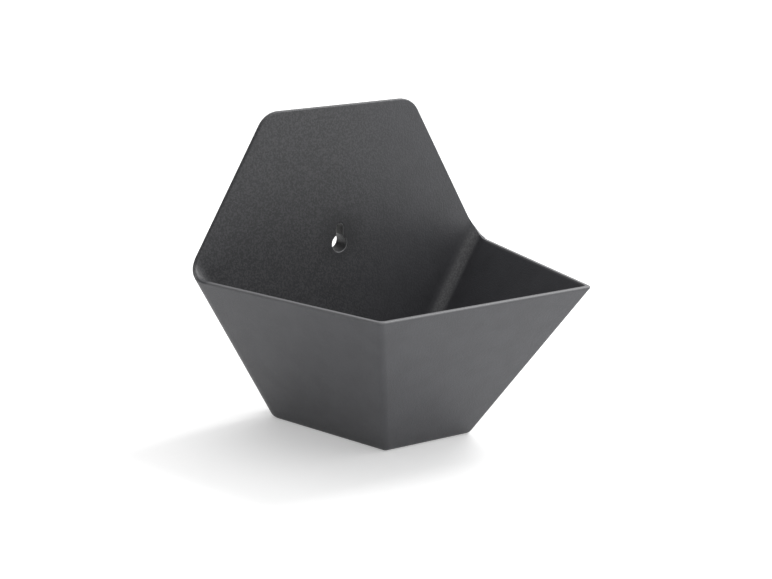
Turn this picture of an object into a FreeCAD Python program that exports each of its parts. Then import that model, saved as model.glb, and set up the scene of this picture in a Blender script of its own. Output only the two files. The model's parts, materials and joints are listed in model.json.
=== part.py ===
import FreeCAD, Part
import math
import os

Vector = FreeCAD.Vector

os.makedirs("parts", exist_ok=True)

# A wall planter moulded in one piece: a six-sided back plate, with a trough in front of its lower
# half whose walls lean out on three sides. The keyhole in the plate hangs it on a screw.
# Millimetres. +Z is up, the wall is at +Y, the viewer at -Y, and the mirror plane is X = 0.

# Back plate: an upright hexagon, as good as regular. Its outline is given at the plate's back face
# and to the sharp corners.
CORNER_HALF_WIDTH = 114.3     # middle to side corner
CORNER_HEIGHT = 97.9
TOP_HALF_WIDTH = 56.3
TOP_HEIGHT = 197.6
BASE_HALF_WIDTH = 56.8
PLATE_THICKNESS = 3.6
PLATE_CORNER_RADIUS = 16.0
PLATE_BACK_EDGE_RADIUS = 1.0

# Trough: its side walls run forward from the plate's lower edges and draw in towards the front.
RIM_HEIGHT = 99.3             # at the plate's front face
RIM_RISE = 0.021              # upward per millimetre forward
BASE_DEPTH = 99.5             # plate's front face to the front of the base
FRONT_LEAN = 0.56             # front wall, forward per millimetre of height
SIDE_DRAW_IN = 0.229          # sideways per millimetre forward
WALL_THICKNESS = 3.0
FLOOR_THICKNESS = 3.0
FOLD_RADIUS = 12.0            # outside, where the side walls turn into the plate
FRONT_EDGE_RADIUS = 5.0       # upright front edges
BASE_EDGE_RADIUS = 6.0        # round the base
CREASE_RADIUS = 9.0           # inside, where the side walls turn into the plate
INNER_FRONT_RADIUS = 4.5
INNER_BASE_RADIUS = 6.0       # round the floor
WEB_RADIUS = 14.0             # sweep of the rim up into the plate
RIM_EDGE_RADIUS = 1.0

# Underside: a low foot round the edge, so that the base stands flat.
FOOT_HEIGHT = 1.6
FOOT_WIDTH = 8.0              # at the front and sides
FOOT_BACK_WIDTH = 12.0
FOOT_CORNER_RADIUS = 4.0

# Keyhole, with a collar behind it that reaches the wall, and two ribs of the same depth low down.
STAND_OFF = 8.4               # plate's back face to the wall
KEYHOLE_HEIGHT = 107.3        # centre of the round opening
KEYHOLE_RADIUS = 5.8
KEYHOLE_EDGE_RADIUS = 0.4
SLOT_WIDTH = 5.3
SLOT_REACH = 13.4             # centre of the round opening to the top of the slot
COLLAR_WALL = 2.4
RIB_SPACING = 68.0
RIB_THICKNESS = 2.4
RIB_BOTTOM = 4.0
RIB_WALL_TOP = 30.0
RIB_PLATE_TOP = 46.0

# Drain: a tapered hole in the floor and the soft stopper that closes it.
DRAIN_DEPTH = 60.0            # plate's front face to the hole's centre
DRAIN_RADIUS = 6.2            # at the underside
DRAIN_TAPER = 0.2             # radius gained per millimetre of height
STOPPER_CLEARANCE = 0.15
STOPPER_RAISE = 0.6           # stopper's lower end above the floor's underside
STOPPER_FLANGE_RADIUS = 11.0
STOPPER_FLANGE_THICKNESS = 1.8
STOPPER_FLANGE_EDGE_RADIUS = 0.7
TAB_WIDTH = 10.0
TAB_HEIGHT = 8.0
TAB_THICKNESS = 2.4

# Fixing set, laid on the trough's floor until the planter is hung.
SCREW_RADIUS = 2.25
SCREW_LENGTH = 40.0           # under the head
SCREW_TIP = 5.0
SCREW_HEAD_RADIUS = 4.6
SCREW_HEAD_HEIGHT = 3.2
SCREW_HEAD_ROUND = 2.2
SCREW_RECESS_WIDTH = 1.2
SCREW_RECESS_SPAN = 4.8
SCREW_RECESS_DEPTH = 1.8
SCREW_DEPTH = 17.0            # plate's front face to the screw's middle
SCREW_TURN = -6.0             # degrees, seen from above
PLUG_RADIUS = 4.0
PLUG_LENGTH = 40.0
PLUG_TIP = 2.0
PLUG_BORE_RADIUS = 1.9
PLUG_BORE_DEPTH = 34.0
PLUG_SLIT_WIDTH = 1.0
PLUG_SLIT_START = 9.0       # from the mouth
PLUG_SLIT_END = 35.0
PLUG_GROOVE_COUNT = 6
PLUG_GROOVE_WIDTH = 1.8
PLUG_GROOVE_SINK = 0.6
PLUG_DEPTH = 31.0
PLUG_TURN = 5.0
LAID_CLEARANCE = 0.1

# The frame's origin is on the base plane, under the middle of the whole.
RIM_MEETS_FRONT = 1 - RIM_RISE * FRONT_LEAN
FRONT_RIM_HEIGHT = (RIM_HEIGHT + RIM_RISE * BASE_DEPTH) / RIM_MEETS_FRONT
RIM_EDGE_CENTRE = (math.hypot(1, FRONT_LEAN) + FRONT_LEAN * math.hypot(1, RIM_RISE)) / RIM_MEETS_FRONT
RIM_EDGE_LOSS = RIM_EDGE_RADIUS * (RIM_EDGE_CENTRE - 1)
RIM_DEPTH = BASE_DEPTH + FRONT_LEAN * FRONT_RIM_HEIGHT - RIM_EDGE_LOSS
WALL_Y = (RIM_DEPTH + PLATE_THICKNESS + STAND_OFF) / 2
PLATE_BACK_Y = WALL_Y - STAND_OFF
PLATE_FRONT_Y = PLATE_BACK_Y - PLATE_THICKNESS
FLOOR_UNDER_Z = FOOT_HEIGHT
FLOOR_TOP_Z = FLOOR_UNDER_Z + FLOOR_THICKNESS

SIDE_LEAN = (CORNER_HALF_WIDTH - BASE_HALF_WIDTH) / CORNER_HEIGHT
PAST = 1.0                    # how far a cutter runs past the face that it opens
TOLERANCE = 1e-5
REACH = PLATE_THICKNESS + BASE_DEPTH + FRONT_LEAN * (TOP_HEIGHT + PAST) + PAST
HALF_SPACE = 2 * (REACH + 2 * CORNER_HALF_WIDTH + TOP_HEIGHT)


def leaning_planes():
    """A point and the outward normal of each leaning wall of the trough."""
    planes = {}
    for name, side in (("right", 1), ("left", -1)):
        outward = Vector(side, -SIDE_DRAW_IN, -SIDE_LEAN).normalize()
        planes[name] = (Vector(side * BASE_HALF_WIDTH, PLATE_BACK_Y, 0), outward)
    front = Vector(0, -1, -FRONT_LEAN).normalize()
    planes["front"] = (Vector(0, PLATE_FRONT_Y - BASE_DEPTH, 0), front)
    return planes


PLANES = leaning_planes()


def beyond(point, outward):
    """Large block over everything on the outward side of a plane."""
    corner = Vector(-HALF_SPACE / 2, -HALF_SPACE / 2, 0)
    block = Part.makeBox(HALF_SPACE, HALF_SPACE, HALF_SPACE, corner)
    block.Placement = FreeCAD.Placement(point, FreeCAD.Rotation(Vector(0, 0, 1), outward))
    return block


def on_face(name, inset):
    """Test for a point on a leaning face that is moved inward."""
    point, outward = PLANES[name]
    return lambda p: abs((p - point).dot(outward) + inset) < TOLERANCE


def at_y(y):
    return lambda p: abs(p.y - y) < TOLERANCE


def at_z(z):
    return lambda p: abs(p.z - z) < TOLERANCE


def edges_where(solid, *tests):
    """Edges of the solid whose ends pass all the tests."""
    return [edge for edge in solid.Edges
            if all(test(vertex.Point) for vertex in edge.Vertexes for test in tests)]


def rounded_block(inset, bottom, back_y, fold_radius, front_radius, base_radius):
    """The space between the leaning walls and the back, run on upward, moved inward by inset."""
    width = 4 * CORNER_HALF_WIDTH
    height = TOP_HEIGHT + PAST - bottom
    block = Part.makeBox(width, REACH, height, Vector(-width / 2, back_y - REACH, bottom))
    for point, outward in PLANES.values():
        block = block.cut(beyond(point - outward * inset, outward))
    for neighbour, radius in ((at_y(back_y), fold_radius), (on_face("front", inset), front_radius)):
        edges = edges_where(block, on_face("right", inset), neighbour)
        edges += edges_where(block, on_face("left", inset), neighbour)
        block = block.makeFillet(radius, edges)
    return block.makeFillet(base_radius, edges_where(block, at_z(bottom)))


def plate_bar():
    """Straight bar with the plate's outline, as deep as the planter."""
    outline = [(BASE_HALF_WIDTH, 0), (CORNER_HALF_WIDTH, CORNER_HEIGHT), (TOP_HALF_WIDTH, TOP_HEIGHT)]
    outline += [(-x, z) for x, z in reversed(outline)]
    corners = [Vector(x, PLATE_BACK_Y - REACH, z) for x, z in outline]
    bar = Part.Face(Part.makePolygon(corners + corners[:1])).extrude(Vector(0, REACH, 0))
    above_base = lambda p: p.z > TOLERANCE
    along = [edge for edge in edges_where(bar, above_base) if edge.Vertexes[0].Y != edge.Vertexes[1].Y]
    return bar.makeFillet(PLATE_CORNER_RADIUS, along)


def across(points):
    """Solid as wide as the planter, from its side view as (Y, Z) points."""
    width = 2 * CORNER_HALF_WIDTH + 2 * PAST
    corners = [Vector(-width / 2, y, z) for y, z in points]
    return Part.Face(Part.makePolygon(corners + corners[:1])).extrude(Vector(width, 0, 0))


def space_over_rim():
    """What lies over the trough's rim and in front of the plate, down to the sweep between them."""
    front, top = PLATE_FRONT_Y - REACH, TOP_HEIGHT + PAST
    space = across([(PLATE_FRONT_Y, RIM_HEIGHT), (front, RIM_HEIGHT + RIM_RISE * REACH),
                    (front, top), (PLATE_FRONT_Y, top)])
    return space.makeFillet(WEB_RADIUS, edges_where(space, at_y(PLATE_FRONT_Y), at_z(RIM_HEIGHT)))


def filled_body():
    """Plate and trough before the trough is hollowed, with its outer edges rounded."""
    body = rounded_block(0, 0, PLATE_BACK_Y, FOLD_RADIUS, FRONT_EDGE_RADIUS, BASE_EDGE_RADIUS)
    body = body.common(plate_bar()).cut(space_over_rim()).removeSplitter()
    # Each rounding starts at the plate's top edge and runs on along every edge that is smooth with it.
    body = body.makeFillet(PLATE_BACK_EDGE_RADIUS, edges_where(body, at_y(PLATE_BACK_Y), at_z(TOP_HEIGHT)))
    return body.makeFillet(RIM_EDGE_RADIUS, edges_where(body, at_y(PLATE_FRONT_Y), at_z(TOP_HEIGHT)))


def trough_hollow():
    """The space inside the trough, rounded where the walls meet the plate, the floor and each other."""
    return rounded_block(WALL_THICKNESS, FLOOR_TOP_Z, PLATE_FRONT_Y,
                         CREASE_RADIUS, INNER_FRONT_RADIUS, INNER_BASE_RADIUS)


def foot_recess():
    """The shallow hollow under the base, which leaves the foot round it."""
    back = PLATE_BACK_Y - FOOT_BACK_WIDTH
    front = PLATE_FRONT_Y - BASE_DEPTH + FOOT_WIDTH
    back_half = BASE_HALF_WIDTH - SIDE_DRAW_IN * (PLATE_BACK_Y - back) - FOOT_WIDTH
    front_half = BASE_HALF_WIDTH - SIDE_DRAW_IN * (PLATE_BACK_Y - front) - FOOT_WIDTH
    corners = [Vector(-back_half, back, -PAST), Vector(back_half, back, -PAST),
               Vector(front_half, front, -PAST), Vector(-front_half, front, -PAST)]
    recess = Part.Face(Part.makePolygon(corners + corners[:1])).extrude(Vector(0, 0, FOOT_HEIGHT + PAST))
    upright = [edge for edge in recess.Edges if abs(edge.Vertexes[0].Z - edge.Vertexes[1].Z) > TOLERANCE]
    return recess.makeFillet(FOOT_CORNER_RADIUS, upright)


def keyhole_bar(grow, start_y, end_y):
    """Bar of the keyhole's shape, round opening below and slot above, grown all round."""
    along = Vector(0, 1, 0)
    length = end_y - start_y
    slot_half = SLOT_WIDTH / 2 + grow
    slot_top = KEYHOLE_HEIGHT + SLOT_REACH - SLOT_WIDTH / 2
    opening = Part.makeCylinder(KEYHOLE_RADIUS + grow, length, Vector(0, start_y, KEYHOLE_HEIGHT), along)
    slot = Part.makeBox(2 * slot_half, length, slot_top - KEYHOLE_HEIGHT,
                        Vector(-slot_half, start_y, KEYHOLE_HEIGHT))
    slot_end = Part.makeCylinder(slot_half, length, Vector(0, start_y, slot_top), along)
    return opening.fuse([slot, slot_end]).removeSplitter()


def stand_off_rib(x):
    """Upright rib low on the plate's back, as deep as the collar."""
    embed = PLATE_BACK_Y - PLATE_THICKNESS / 2
    side = [(embed, RIB_BOTTOM), (WALL_Y, RIB_BOTTOM), (WALL_Y, RIB_WALL_TOP),
            (PLATE_BACK_Y, RIB_PLATE_TOP), (embed, RIB_PLATE_TOP)]
    corners = [Vector(x - RIB_THICKNESS / 2, y, z) for y, z in side]
    return Part.Face(Part.makePolygon(corners + corners[:1])).extrude(Vector(RIB_THICKNESS, 0, 0))


def drain_cone(clearance, bottom, top):
    """Cone of the drain hole between two heights, smaller all round by the clearance."""
    base = DRAIN_RADIUS - clearance
    low = base + DRAIN_TAPER * (bottom - FLOOR_UNDER_Z)
    high = base + DRAIN_TAPER * (top - FLOOR_UNDER_Z)
    centre = Vector(0, PLATE_FRONT_Y - DRAIN_DEPTH, bottom)
    return Part.makeCone(low, high, top - bottom, centre)


def planter_shell():
    """The moulding: back plate, trough, collar, stand-off ribs, foot, keyhole and drain hole."""
    embed = PLATE_BACK_Y - PLATE_THICKNESS / 2
    ribs = [stand_off_rib(side * RIB_SPACING / 2) for side in (1, -1)]
    shell = filled_body().cut(trough_hollow())
    shell = shell.fuse([keyhole_bar(COLLAR_WALL, embed, WALL_Y)] + ribs)
    shell = shell.cut(foot_recess())
    shell = shell.cut(drain_cone(0, FLOOR_UNDER_Z - PAST, FLOOR_TOP_Z + PAST))
    shell = shell.cut(keyhole_bar(0, PLATE_FRONT_Y - PAST, WALL_Y + PAST)).removeSplitter()
    near = lambda p: (p - Vector(0, PLATE_FRONT_Y, KEYHOLE_HEIGHT)).Length < SLOT_REACH + PAST
    return shell.makeFillet(KEYHOLE_EDGE_RADIUS, edges_where(shell, at_y(PLATE_FRONT_Y), near))


def drain_stopper():
    """Soft stopper: a tapered stem, a flange that rests on the floor, and a tab to pull it by."""
    seat_z = FLOOR_TOP_Z + LAID_CLEARANCE
    flange_top = seat_z + STOPPER_FLANGE_THICKNESS
    centre_y = PLATE_FRONT_Y - DRAIN_DEPTH
    stem = drain_cone(STOPPER_CLEARANCE, FLOOR_UNDER_Z + STOPPER_RAISE, seat_z)
    flange = Part.makeCylinder(STOPPER_FLANGE_RADIUS, STOPPER_FLANGE_THICKNESS, Vector(0, centre_y, seat_z))
    flange = flange.makeFillet(STOPPER_FLANGE_EDGE_RADIUS, edges_where(flange, at_z(flange_top)))
    tab_round = TAB_WIDTH / 2
    tab_y = centre_y - TAB_THICKNESS / 2
    tab_middle = flange_top + TAB_HEIGHT - tab_round
    tab = Part.makeBox(TAB_WIDTH, TAB_THICKNESS, tab_middle - seat_z, Vector(-tab_round, tab_y, seat_z))
    tab = tab.fuse(Part.makeCylinder(tab_round, TAB_THICKNESS, Vector(0, tab_y, tab_middle), Vector(0, 1, 0)))
    return stem.fuse([flange, tab]).removeSplitter()


def laid_on_floor(piece, tilt, turn, depth):
    """Piece made along +X about the origin, tipped, turned and set down on the trough's floor."""
    piece.rotate(Vector(0, 0, 0), Vector(0, 1, 0), tilt)
    piece.rotate(Vector(0, 0, 0), Vector(0, 0, 1), turn)
    lowest = piece.optimalBoundingBox(False, False).ZMin
    piece.translate(Vector(0, PLATE_FRONT_Y - depth, FLOOR_TOP_Z + LAID_CLEARANCE - lowest))
    return piece


def wall_screw():
    """Pan-head screw, lying on its head's rim and the end of its shank."""
    along = Vector(1, 0, 0)
    under_head = -SCREW_LENGTH / 2
    straight = SCREW_LENGTH - SCREW_TIP
    shank = Part.makeCylinder(SCREW_RADIUS, straight, Vector(under_head, 0, 0), along)
    tip = Part.makeCone(SCREW_RADIUS, 0, SCREW_TIP, Vector(under_head + straight, 0, 0), along)
    head_top = under_head - SCREW_HEAD_HEIGHT
    head = Part.makeCylinder(SCREW_HEAD_RADIUS, SCREW_HEAD_HEIGHT, Vector(head_top, 0, 0), along)
    rim = edges_where(head, lambda p: abs(p.x - head_top) < TOLERANCE)
    head = head.makeFillet(SCREW_HEAD_ROUND, rim)
    screw = head.fuse([shank, tip])
    wide, long = SCREW_RECESS_WIDTH, SCREW_RECESS_SPAN
    for size_y, size_z in ((wide, long), (long, wide)):
        corner = Vector(head_top, -size_y / 2, -size_z / 2)
        screw = screw.cut(Part.makeBox(SCREW_RECESS_DEPTH, size_y, size_z, corner))
    tilt = math.degrees(math.atan((SCREW_HEAD_RADIUS - SCREW_RADIUS) / straight))
    return laid_on_floor(screw, tilt, SCREW_TURN, SCREW_DEPTH)


def wall_plug():
    """Grooved wall plug, slit along its length so that the screw spreads it."""
    along = Vector(1, 0, 0)
    mouth = -PLUG_LENGTH / 2
    straight = PLUG_LENGTH - PLUG_TIP
    plug = Part.makeCylinder(PLUG_RADIUS, straight, Vector(mouth, 0, 0), along)
    tip = Part.makeCone(PLUG_RADIUS, PLUG_RADIUS - PLUG_TIP / 2, PLUG_TIP,
                        Vector(mouth + straight, 0, 0), along)
    plug = plug.fuse(tip)
    pitch = (PLUG_SLIT_END - PLUG_SLIT_START) / PLUG_GROOVE_COUNT
    for i in range(PLUG_GROOVE_COUNT):
        start = Vector(mouth + PLUG_SLIT_START + (i + 0.5) * pitch - PLUG_GROOVE_WIDTH / 2, 0, 0)
        ring = Part.makeCylinder(PLUG_RADIUS + PAST, PLUG_GROOVE_WIDTH, start, along)
        core = Part.makeCylinder(PLUG_RADIUS - PLUG_GROOVE_SINK, PLUG_GROOVE_WIDTH, start, along)
        plug = plug.cut(ring.cut(core))
    bore = Part.makeCylinder(PLUG_BORE_RADIUS, PLUG_BORE_DEPTH, Vector(mouth, 0, 0), along)
    slit = Part.makeBox(PLUG_SLIT_END - PLUG_SLIT_START, PLUG_SLIT_WIDTH, 2 * (PLUG_RADIUS + PAST),
                        Vector(mouth + PLUG_SLIT_START, -PLUG_SLIT_WIDTH / 2, -PLUG_RADIUS - PAST))
    return laid_on_floor(plug.cut([bore, slit]), 0, PLUG_TURN, PLUG_DEPTH)


pieces = {
    "planter_shell": planter_shell(),
    "drain_stopper": drain_stopper(),
    "wall_screw": wall_screw(),
    "wall_plug": wall_plug(),
}
for name, shape in pieces.items():
    shape.exportStep("parts/" + name + ".step")
    box = shape.optimalBoundingBox(False, False)
    print(name, shape.isValid(), len(shape.Solids), round(shape.Volume, 1),
          [round(v, 2) for v in (box.XMin, box.YMin, box.ZMin, box.XMax, box.YMax, box.ZMax)])
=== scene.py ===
import json
import math

import bpy
from mathutils import Matrix, Vector


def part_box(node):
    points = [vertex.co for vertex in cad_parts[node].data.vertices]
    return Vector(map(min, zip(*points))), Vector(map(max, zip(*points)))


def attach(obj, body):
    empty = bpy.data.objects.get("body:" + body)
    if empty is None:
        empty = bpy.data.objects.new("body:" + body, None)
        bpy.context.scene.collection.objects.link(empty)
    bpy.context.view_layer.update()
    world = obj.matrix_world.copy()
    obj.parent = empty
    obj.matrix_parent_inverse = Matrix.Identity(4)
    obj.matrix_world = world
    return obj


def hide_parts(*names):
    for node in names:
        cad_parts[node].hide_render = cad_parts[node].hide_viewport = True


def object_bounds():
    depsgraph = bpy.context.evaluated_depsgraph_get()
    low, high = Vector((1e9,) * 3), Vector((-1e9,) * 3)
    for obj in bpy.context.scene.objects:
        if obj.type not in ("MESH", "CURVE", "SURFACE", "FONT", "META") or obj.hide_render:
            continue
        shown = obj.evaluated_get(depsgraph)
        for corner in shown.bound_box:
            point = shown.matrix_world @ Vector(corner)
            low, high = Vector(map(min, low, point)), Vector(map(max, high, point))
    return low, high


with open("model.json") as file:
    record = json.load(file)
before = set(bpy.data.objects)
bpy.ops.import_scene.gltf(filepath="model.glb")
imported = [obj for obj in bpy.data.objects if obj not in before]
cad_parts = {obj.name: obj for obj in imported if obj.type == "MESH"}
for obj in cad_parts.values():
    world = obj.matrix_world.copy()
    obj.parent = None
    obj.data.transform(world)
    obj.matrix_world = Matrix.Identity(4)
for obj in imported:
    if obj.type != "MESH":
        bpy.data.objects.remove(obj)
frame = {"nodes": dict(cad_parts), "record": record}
cad_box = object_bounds()

# The planter: one moulding in dark grey plastic, back plate and trough together, satin all over with
# a fine grain. The plate is speckled on its left and smoother on its right, with painted shade round
# the keyhole. The creases beside it are paler. The trough's rim and the keyhole's lip carry painted
# highlights, and the keyhole's slot is painted near black as painted shade.

GRAIN_SIZE = 0.0005
SPECKLE_SIZE = 0.0011
MOTTLE_SIZE = 0.014
NOISE_LOW, NOISE_HIGH = 0.35, 0.65          # where most of a noise's values lie
SPECKLE_LOW, SPECKLE_HIGH = 0.38, 0.66
PLASTIC_ROUGH_LOW, PLASTIC_ROUGH_HIGH = 0.44, 0.58
GRAIN_DEPTH = 0.0001
PLASTIC_DARK = (0.062, 0.063, 0.069, 1)
PLASTIC_LIGHT = (0.069, 0.070, 0.077, 1)
PLASTIC_PIT = (0.030, 0.030, 0.031, 1)
PLASTIC_SPECK = (0.088, 0.088, 0.090, 1)
CREASE_PALE = (0.155, 0.155, 0.159, 1)
# painted highlight on the rim
RIM_HIGHLIGHT = (0.145, 0.145, 0.151, 1)
# painted highlight on the keyhole's lip
LIP_HIGHLIGHT = (0.260, 0.262, 0.270, 1)
# painted shade in the keyhole's slot
SLOT_SHADE = (0.004, 0.004, 0.004, 1)
# painted shade round the keyhole
KEYHOLE_SHADE = (0.028, 0.029, 0.031, 1)
SPECKLED_SIDE = -0.02
SMOOTH_SIDE = 0.07
SPECKLED_SHARE = 0.55
SMOOTH_SHARE = 0.12
SIDE_LEAN = 0.5873            # of the side walls, sideways per metre of height
CREASE_FOOT = 0.0524          # crease from the middle, where its slope reaches the base
CREASE_BAND = 0.009
CREASE_FADE = 0.001
PLATE_FINISH_FAR = 0.010      # before the plate, where its finish starts to show
PLATE_FINISH_NEAR = 0.006
KEYHOLE_SHADE_REACH = 0.024
KEYHOLE_SHADE_CORE = 0.3          # share of the reach where the painted shade is darkest
KEYHOLE_SHADE_STRENGTH = 0.55
KEYHOLE_SHADE_RISE = 0.006
RIM_HEIGHT = 0.0993           # at the plate's front face
RIM_RISE = 0.021              # upward per metre forward
RIM_HIGHLIGHT_BAND = 0.0014
RIM_END_FAR = 0.018           # before the plate, where the painted rim highlight ends
RIM_END_NEAR = 0.014
KEYHOLE_REACH = 0.016
KEYHOLE_FADE = 0.001
LIP_START = 0.00002           # behind the plate's front face
LIP_FULL = 0.0001
LIP_END = 0.0004
LIP_FADE = 0.0002
SLOT_HALF = 0.0028
SLOT_SIDE_FADE = 0.0002
SLOT_FOOT = 0.0045            # above the centre of the round opening
SLOT_FOOT_FADE = 0.0015
PLATE_FRONT_TO_WALL = 0.012

plate_front = cad_box[1][1] - PLATE_FRONT_TO_WALL
mounts = {mount["name"]: Vector(mount["pos_m"]) for mount in frame["record"]["mounts"]}


def new_material(name):
    made = bpy.data.materials.new(name)
    made.use_nodes = True
    return made, made.node_tree.nodes, made.node_tree.links


def noise(nodes, links, where, size, detail=2.0):
    texture = nodes.new("ShaderNodeTexNoise")
    texture.inputs["Scale"].default_value = 1 / size
    texture.inputs["Detail"].default_value = detail
    links.new(where, texture.inputs["Vector"])
    return texture.outputs["Fac"]


def ramp(nodes, links, value, start, end, low, high):
    made = nodes.new("ShaderNodeMapRange")
    made.interpolation_type = "SMOOTHSTEP"
    made.inputs["From Min"].default_value = start
    made.inputs["From Max"].default_value = end
    made.inputs["To Min"].default_value = low
    made.inputs["To Max"].default_value = high
    links.new(value, made.inputs["Value"])
    return made.outputs["Result"]


def times(nodes, links, one, other):
    made = nodes.new("ShaderNodeMath")
    made.operation = "MULTIPLY"
    links.new(one, made.inputs[0])
    links.new(other, made.inputs[1])
    return made.outputs[0]


def blend(nodes, links, share, first, second):
    """Mix two colours, each a fixed colour or the output of a node."""
    made = nodes.new("ShaderNodeMix")
    made.data_type = "RGBA"
    links.new(share, made.inputs["Factor"])
    for socket, colour in (("A", first), ("B", second)):
        if isinstance(colour, tuple):
            made.inputs[socket].default_value = colour
        else:
            links.new(colour, made.inputs[socket])
    return made.outputs["Result"]


def bump(nodes, links, height, distance, strength):
    made = nodes.new("ShaderNodeBump")
    made.inputs["Distance"].default_value = distance
    made.inputs["Strength"].default_value = strength
    links.new(height, made.inputs["Height"])
    return made.outputs["Normal"]


def finish_node(name, material):
    """Give a node of the frame its material."""
    piece = frame["nodes"][name]
    piece.data.materials.clear()
    piece.data.materials.append(material)


plastic, nodes, links = new_material("grained_plastic")
shader = nodes["Principled BSDF"]
place = nodes.new("ShaderNodeTexCoord").outputs["Object"]
axes = nodes.new("ShaderNodeSeparateXYZ")
links.new(place, axes.inputs["Vector"])
across, depth, height = axes.outputs["X"], axes.outputs["Y"], axes.outputs["Z"]
cloudiness = noise(nodes, links, place, MOTTLE_SIZE, 4)
mottle = ramp(nodes, links, cloudiness, NOISE_LOW, NOISE_HIGH, 0, 1)
colour = blend(nodes, links, mottle, PLASTIC_DARK, PLASTIC_LIGHT)
finish_far, finish_near = plate_front - PLATE_FINISH_FAR, plate_front - PLATE_FINISH_NEAR
on_plate = ramp(nodes, links, depth, finish_far, finish_near, 0, 1)
fine_noise = noise(nodes, links, place, SPECKLE_SIZE, 3)
specks = ramp(nodes, links, fine_noise, SPECKLE_LOW, SPECKLE_HIGH, 0, 1)
rough_side = ramp(nodes, links, across, SPECKLED_SIDE, SMOOTH_SIDE, SPECKLED_SHARE, SMOOTH_SHARE)
speckled = blend(nodes, links, specks, PLASTIC_PIT, PLASTIC_SPECK)
colour = blend(nodes, links, times(nodes, links, rough_side, on_plate), colour, speckled)
# The crease follows the side walls' lean, so it is found by how far a point is past that slope.
absolute = nodes.new("ShaderNodeMath")
absolute.operation = "ABSOLUTE"
links.new(across, absolute.inputs[0])
sideways = absolute.outputs[0]
slope = nodes.new("ShaderNodeMath")
slope.operation = "MULTIPLY_ADD"
links.new(height, slope.inputs[0])
slope.inputs[1].default_value = -SIDE_LEAN
links.new(sideways, slope.inputs[2])
past_slope = slope.outputs[0]
band_start, band_middle = CREASE_FOOT - CREASE_BAND, CREASE_FOOT - CREASE_BAND / 2
crease = ramp(nodes, links, past_slope, band_start, band_middle, 0, 1)
before_wall = ramp(nodes, links, past_slope, CREASE_FOOT, CREASE_FOOT + CREASE_FADE, 1, 0)
crease = times(nodes, links, crease, before_wall)
rough_crease = ramp(nodes, links, specks, 0, 1, 0.5, 1)
crease = times(nodes, links, times(nodes, links, crease, on_plate), rough_crease)
lip_end = plate_front + LIP_END
inside = ramp(nodes, links, depth, lip_end - LIP_FADE, lip_end + LIP_FADE, 1, 0)
colour = blend(nodes, links, times(nodes, links, crease, inside), colour, CREASE_PALE)
distance = nodes.new("ShaderNodeVectorMath")
distance.operation = "DISTANCE"
links.new(place, distance.inputs[0])
distance.inputs[1].default_value = mounts["keyhole"] + Vector((0, 0, KEYHOLE_SHADE_RISE))
from_keyhole = distance.outputs["Value"]
# Painted shade: the plate is painted darker round the keyhole, centred a little above it.
shade_core = KEYHOLE_SHADE_CORE * KEYHOLE_SHADE_REACH
keyhole_shade = ramp(nodes, links, from_keyhole, shade_core, KEYHOLE_SHADE_REACH, KEYHOLE_SHADE_STRENGTH, 0)
colour = blend(nodes, links, keyhole_shade, colour, KEYHOLE_SHADE)
# Painted highlight on the rim's top. The rim climbs a little to the front, so the band of painted
# highlight is found by the height along that climb.
climb = nodes.new("ShaderNodeMath")
climb.operation = "MULTIPLY_ADD"
links.new(depth, climb.inputs[0])
climb.inputs[1].default_value = RIM_RISE
links.new(height, climb.inputs[2])
rim_level = RIM_HEIGHT + RIM_RISE * plate_front
rim = ramp(nodes, links, climb.outputs[0], rim_level - RIM_HIGHLIGHT_BAND, rim_level - RIM_HIGHLIGHT_BAND / 3, 0, 1)
before_plate = ramp(nodes, links, depth, plate_front - RIM_END_FAR, plate_front - RIM_END_NEAR, 1, 0)
colour = blend(nodes, links, times(nodes, links, rim, before_plate), colour, RIM_HIGHLIGHT)
keyhole_end = KEYHOLE_REACH + KEYHOLE_FADE
near_keyhole = ramp(nodes, links, from_keyhole, KEYHOLE_REACH, keyhole_end, 1, 0)
# Painted highlight: the keyhole's wall just behind the plate's front face is painted pale.
lip_highlight = ramp(nodes, links, depth, plate_front + LIP_START, plate_front + LIP_FULL, 0, 1)
lip_highlight = times(nodes, links, lip_highlight, ramp(nodes, links, depth, lip_end, lip_end + LIP_FADE, 1, 0))
colour = blend(nodes, links, times(nodes, links, lip_highlight, near_keyhole), colour, LIP_HIGHLIGHT)
# Painted shade: the inside of the keyhole's slot, above the round opening, is painted near black.
slot = ramp(nodes, links, depth, lip_end, lip_end + LIP_FADE, 0, 1)
between_sides = ramp(nodes, links, sideways, SLOT_HALF, SLOT_HALF + SLOT_SIDE_FADE, 1, 0)
slot = times(nodes, links, slot, between_sides)
slot_foot = mounts["keyhole"].z + SLOT_FOOT
above_round = ramp(nodes, links, height, slot_foot, slot_foot + SLOT_FOOT_FADE, 0, 1)
slot = times(nodes, links, slot, above_round)
colour = blend(nodes, links, times(nodes, links, slot, near_keyhole), colour, SLOT_SHADE)
links.new(colour, shader.inputs["Base Color"])
grain = noise(nodes, links, place, GRAIN_SIZE, 3)
roughness = ramp(nodes, links, grain, 0.3, 0.7, PLASTIC_ROUGH_LOW, PLASTIC_ROUGH_HIGH)
links.new(roughness, shader.inputs["Roughness"])
links.new(bump(nodes, links, specks, GRAIN_DEPTH, 0.5), shader.inputs["Normal"])
finish_node("planter_shell", plastic)

# The stopper: a soft black rubber plug pressed into the drain hole from above, with a flange that
# rests on the trough's floor and a tab to pull it out by. Its skin is matt, with a little dust on it.

DUST_SIZE = 0.002
RUBBER_GRAIN = 0.0004
RUBBER_BLACK = (0.017, 0.017, 0.018, 1)
RUBBER_DUSTY = (0.034, 0.034, 0.034, 1)

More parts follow.
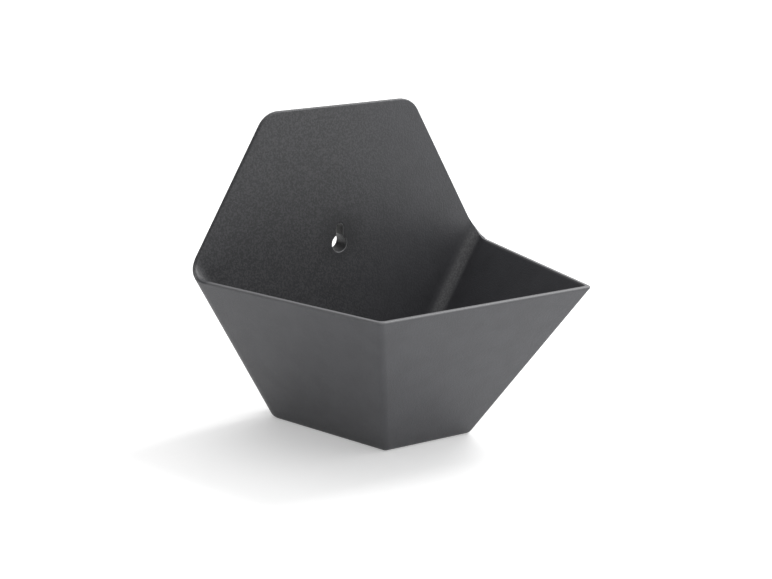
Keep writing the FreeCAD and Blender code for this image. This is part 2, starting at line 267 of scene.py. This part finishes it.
rubber, nodes, links = new_material("black_rubber")
shader = nodes["Principled BSDF"]
place = nodes.new("ShaderNodeTexCoord").outputs["Object"]
dust = ramp(nodes, links, noise(nodes, links, place, DUST_SIZE, 5), 0.4, 0.7, 0, 1)
links.new(blend(nodes, links, dust, RUBBER_BLACK, RUBBER_DUSTY), shader.inputs["Base Color"])
links.new(ramp(nodes, links, dust, 0, 1, 0.62, 0.8), shader.inputs["Roughness"])
rubber_grain = noise(nodes, links, place, RUBBER_GRAIN, 2)
links.new(bump(nodes, links, rubber_grain, 0.0001, 0.4), shader.inputs["Normal"])
finish_node("drain_stopper", rubber)

# The wall screw: zinc-plated steel with a rolled thread to its point, a pan head and a cross recess.
# It comes with the planter and lies on the trough's floor, on its head's rim and the end of its shank.

SHANK_RADIUS = 0.00225
THREAD_CORE = 0.0016
THREAD_PITCH = 0.0018
THREAD_CREST = 0.3            # half the crest's width at its foot, as a share of the pitch
THREAD_START = 0.002          # plain neck under the head
THREAD_RUN_IN = 0.002
SHANK_LENGTH = 0.040
POINT_LENGTH = 0.005
HEAD_RADIUS = 0.0046
HEAD_HEIGHT = 0.0032
HEAD_ROUND = 0.0022
RECESS_WIDTH = 0.0012
RECESS_SPAN = 0.0048
RECESS_DEPTH = 0.0018
SCREW_TURN = math.radians(-6)
SCREW_FROM_PLATE = 0.017
ROUND_STEPS = 40
RINGS_PER_TURN = 14
ARC_STEPS = 8
BLOOM_SIZE = 0.0016
ZINC_PALE = (0.66, 0.67, 0.68, 1)
ZINC_DULL = (0.48, 0.49, 0.50, 1)

head_seat = -SHANK_LENGTH / 2


def thread_radius(x, angle):
    """Radius of the rolled thread at a place along the shank and round it."""
    along = x - head_seat
    phase = (along / THREAD_PITCH - angle / (2 * math.pi)) % 1
    tooth = max(0, 1 - abs(phase - 0.5) / THREAD_CREST)
    run_in = min(1, max(0, (along - THREAD_START) / THREAD_RUN_IN))
    radius = THREAD_CORE + (SHANK_RADIUS - THREAD_CORE) * tooth * run_in
    return radius * min(1, (SHANK_LENGTH - along) / POINT_LENGTH)


def screw_rings():
    """Place and radius of each ring, from the head's crown to just short of the point."""
    crown = head_seat - HEAD_HEIGHT
    for i in range(ARC_STEPS + 1):
        turn = math.pi / 2 * i / ARC_STEPS
        radius = HEAD_RADIUS - HEAD_ROUND * (1 - math.sin(turn))
        yield crown + HEAD_ROUND * (1 - math.cos(turn)), lambda angle, r=radius: r
    yield head_seat, lambda angle: HEAD_RADIUS
    count = int(SHANK_LENGTH / THREAD_PITCH * RINGS_PER_TURN)
    for i in range(count):
        x = head_seat + SHANK_LENGTH * i / count
        yield x, lambda angle, x=x: thread_radius(x, angle)


def box_cutter(size_y, size_z):
    bpy.ops.mesh.primitive_cube_add(size=1)
    made = bpy.context.object
    depth = 2 * RECESS_DEPTH
    centre = Vector((head_seat - HEAD_HEIGHT, 0, 0))
    made.data.transform(Matrix.Translation(centre) @ Matrix.Diagonal((depth, size_y, size_z, 1)))
    return made


points = []
faces = []
for x, radius_at in screw_rings():
    for j in range(ROUND_STEPS):
        angle = 2 * math.pi * j / ROUND_STEPS
        radius = radius_at(angle)
        points.append((x, radius * math.cos(angle), radius * math.sin(angle)))
ring_count = len(points) // ROUND_STEPS
for i in range(ring_count - 1):
    for j in range(ROUND_STEPS):
        k = (j + 1) % ROUND_STEPS
        near, far = i * ROUND_STEPS, (i + 1) * ROUND_STEPS
        faces.append((near + j, near + k, far + k, far + j))
faces.append(tuple(reversed(range(ROUND_STEPS))))
points.append((head_seat + SHANK_LENGTH, 0, 0))
last = (ring_count - 1) * ROUND_STEPS
for j in range(ROUND_STEPS):
    faces.append((last + j, last + (j + 1) % ROUND_STEPS, len(points) - 1))
screw_mesh = bpy.data.meshes.new("wall_screw_threaded")
screw_mesh.from_pydata(points, [], faces)
screw_mesh.update()
blank = bpy.data.objects.new("screw_blank", screw_mesh)
bpy.context.scene.collection.objects.link(blank)
cutters = [box_cutter(RECESS_WIDTH, RECESS_SPAN), box_cutter(RECESS_SPAN, RECESS_WIDTH)]
for cutter in cutters:
    cut = blank.modifiers.new("recess", "BOOLEAN")
    cut.operation = "DIFFERENCE"
    cut.solver = "EXACT"
    cut.object = cutter
bpy.context.view_layer.update()
cut_mesh = bpy.data.meshes.new_from_object(blank.evaluated_get(bpy.context.evaluated_depsgraph_get()))
for spare in cutters + [blank]:
    bpy.data.objects.remove(spare, do_unlink=True)

shank_end = head_seat + SHANK_LENGTH - POINT_LENGTH
tilt = math.atan((HEAD_RADIUS - SHANK_RADIUS) / (SHANK_LENGTH - POINT_LENGTH))
axis_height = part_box("wall_screw")[0][2] + shank_end * math.sin(tilt) + SHANK_RADIUS * math.cos(tilt)
laid = Matrix.Translation((0, plate_front - SCREW_FROM_PLATE, axis_height))
cut_mesh.transform(laid @ Matrix.Rotation(SCREW_TURN, 4, "Z") @ Matrix.Rotation(tilt, 4, "Y"))
screw = bpy.data.objects.new("threaded_screw", cut_mesh)
bpy.context.scene.collection.objects.link(screw)

zinc, nodes, links = new_material("zinc_plate")
shader = nodes["Principled BSDF"]
shader.inputs["Metallic"].default_value = 1
place = nodes.new("ShaderNodeTexCoord").outputs["Object"]
bloom = ramp(nodes, links, noise(nodes, links, place, BLOOM_SIZE, 4), NOISE_LOW, NOISE_HIGH, 0, 1)
links.new(blend(nodes, links, bloom, ZINC_PALE, ZINC_DULL), shader.inputs["Base Color"])
links.new(ramp(nodes, links, bloom, 0, 1, 0.26, 0.42), shader.inputs["Roughness"])
screw.data.materials.clear()
screw.data.materials.append(zinc)
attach(screw, "planter")
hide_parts("wall_screw")

# The wall plug: injection-moulded nylon, grooved and slit so that the screw spreads it in the wall.
# It is off-white grey and a little cloudy, and lies beside the screw.

CLOUD_SIZE = 0.003
NYLON_PALE = (0.50, 0.51, 0.52, 1)
NYLON_CLOUDY = (0.40, 0.41, 0.42, 1)

nylon, nodes, links = new_material("cloudy_nylon")
shader = nodes["Principled BSDF"]
place = nodes.new("ShaderNodeTexCoord").outputs["Object"]
cloud = ramp(nodes, links, noise(nodes, links, place, CLOUD_SIZE, 3), NOISE_LOW, NOISE_HIGH, 0, 1)
links.new(blend(nodes, links, cloud, NYLON_PALE, NYLON_CLOUDY), shader.inputs["Base Color"])
links.new(ramp(nodes, links, cloud, 0, 1, 0.32, 0.42), shader.inputs["Roughness"])
finish_node("wall_plug", nylon)

# The studio: a white table top that runs on as the backdrop, a soft lamp high up to the right, and a
# room that is bright on that side and in front, and dim on the left.

FLOOR_SIZE = 30
FLOOR_GREY = 0.8
FLOOR_LIFT = 0.37
BRIGHT_SIDE = Vector((0.62, -0.20, 0.76))
ROOM_DIM, ROOM_BRIGHT = 0.04, 1.3
LAMP_PLACE = Vector((1.1, 0.05, 1.4))
LAMP_SIZE = 0.8
LAMP_WATTS = 20

bpy.ops.mesh.primitive_plane_add(size=FLOOR_SIZE)
floor = bpy.context.object
floor.name = "floor"
floor_paint, nodes, links = new_material("floor_paint")
nodes.remove(nodes["Principled BSDF"])
matt = nodes.new("ShaderNodeBsdfDiffuse")
matt.inputs["Color"].default_value = (FLOOR_GREY, FLOOR_GREY, FLOOR_GREY, 1)
lift = nodes.new("ShaderNodeEmission")
lift.inputs["Strength"].default_value = FLOOR_LIFT
lifted = nodes.new("ShaderNodeAddShader")
links.new(matt.outputs[0], lifted.inputs[0])
links.new(lift.outputs[0], lifted.inputs[1])
ray = nodes.new("ShaderNodeLightPath")
seen = ray.outputs["Is Camera Ray"]
for kind in ("Is Glossy Ray", "Is Transmission Ray"):
    either = nodes.new("ShaderNodeMath")
    either.operation = "MAXIMUM"
    links.new(seen, either.inputs[0])
    links.new(ray.outputs[kind], either.inputs[1])
    seen = either.outputs[0]
choose = nodes.new("ShaderNodeMixShader")
links.new(seen, choose.inputs["Fac"])
links.new(matt.outputs[0], choose.inputs[1])
links.new(lifted.outputs[0], choose.inputs[2])
links.new(choose.outputs[0], nodes["Material Output"].inputs["Surface"])
floor.data.materials.append(floor_paint)

world = bpy.data.worlds.new("studio")
world.use_nodes = True
nodes, links = world.node_tree.nodes, world.node_tree.links
towards = nodes.new("ShaderNodeVectorMath")
towards.operation = "DOT_PRODUCT"
links.new(nodes.new("ShaderNodeTexCoord").outputs["Generated"], towards.inputs[0])
towards.inputs[1].default_value = BRIGHT_SIDE
room = ramp(nodes, links, towards.outputs["Value"], -0.3, 0.9, ROOM_DIM, ROOM_BRIGHT)
nodes["Background"].inputs["Color"].default_value = (1, 1, 1, 1)
links.new(room, nodes["Background"].inputs["Strength"])
bpy.context.scene.world = world

softbox = bpy.data.lights.new("softbox", "AREA")
softbox.shape = "SQUARE"
softbox.size = LAMP_SIZE
softbox.energy = LAMP_WATTS
lamp = bpy.data.objects.new("softbox", softbox)
lamp.location = LAMP_PLACE
lamp.rotation_euler = (mounts["base"] - LAMP_PLACE).to_track_quat("-Z", "Y").to_euler()
bpy.context.scene.collection.objects.link(lamp)

# The camera stands to the left of the planter and a little above it, with a long lens.

AZIMUTH, ELEVATION, ROLL = math.radians(-36.198), math.radians(14.714), math.radians(1.146)
AIM = Vector((0, 0.03911, 0.088))
DISTANCE = 1.3840
SHIFT_RIGHT, SHIFT_UP = 0.01094, -0.00402

camera = bpy.data.objects.new("camera", bpy.data.cameras.new("camera"))
camera.data.lens = 101.406
camera.data.sensor_width = 36
back = Vector((math.sin(AZIMUTH) * math.cos(ELEVATION), -math.cos(AZIMUTH) * math.cos(ELEVATION),
               math.sin(ELEVATION)))
right = back.cross(Vector((0, 0, -1))).normalized()
right = Matrix.Rotation(-ROLL, 3, -back) @ right
up = back.cross(right)
camera.location = AIM + back * DISTANCE + right * SHIFT_RIGHT + up * SHIFT_UP
camera.rotation_euler = Matrix((right, up, back)).transposed().to_euler()
bpy.context.scene.collection.objects.link(camera)
bpy.context.scene.camera = camera
bpy.context.scene.view_settings.view_transform = "Standard"
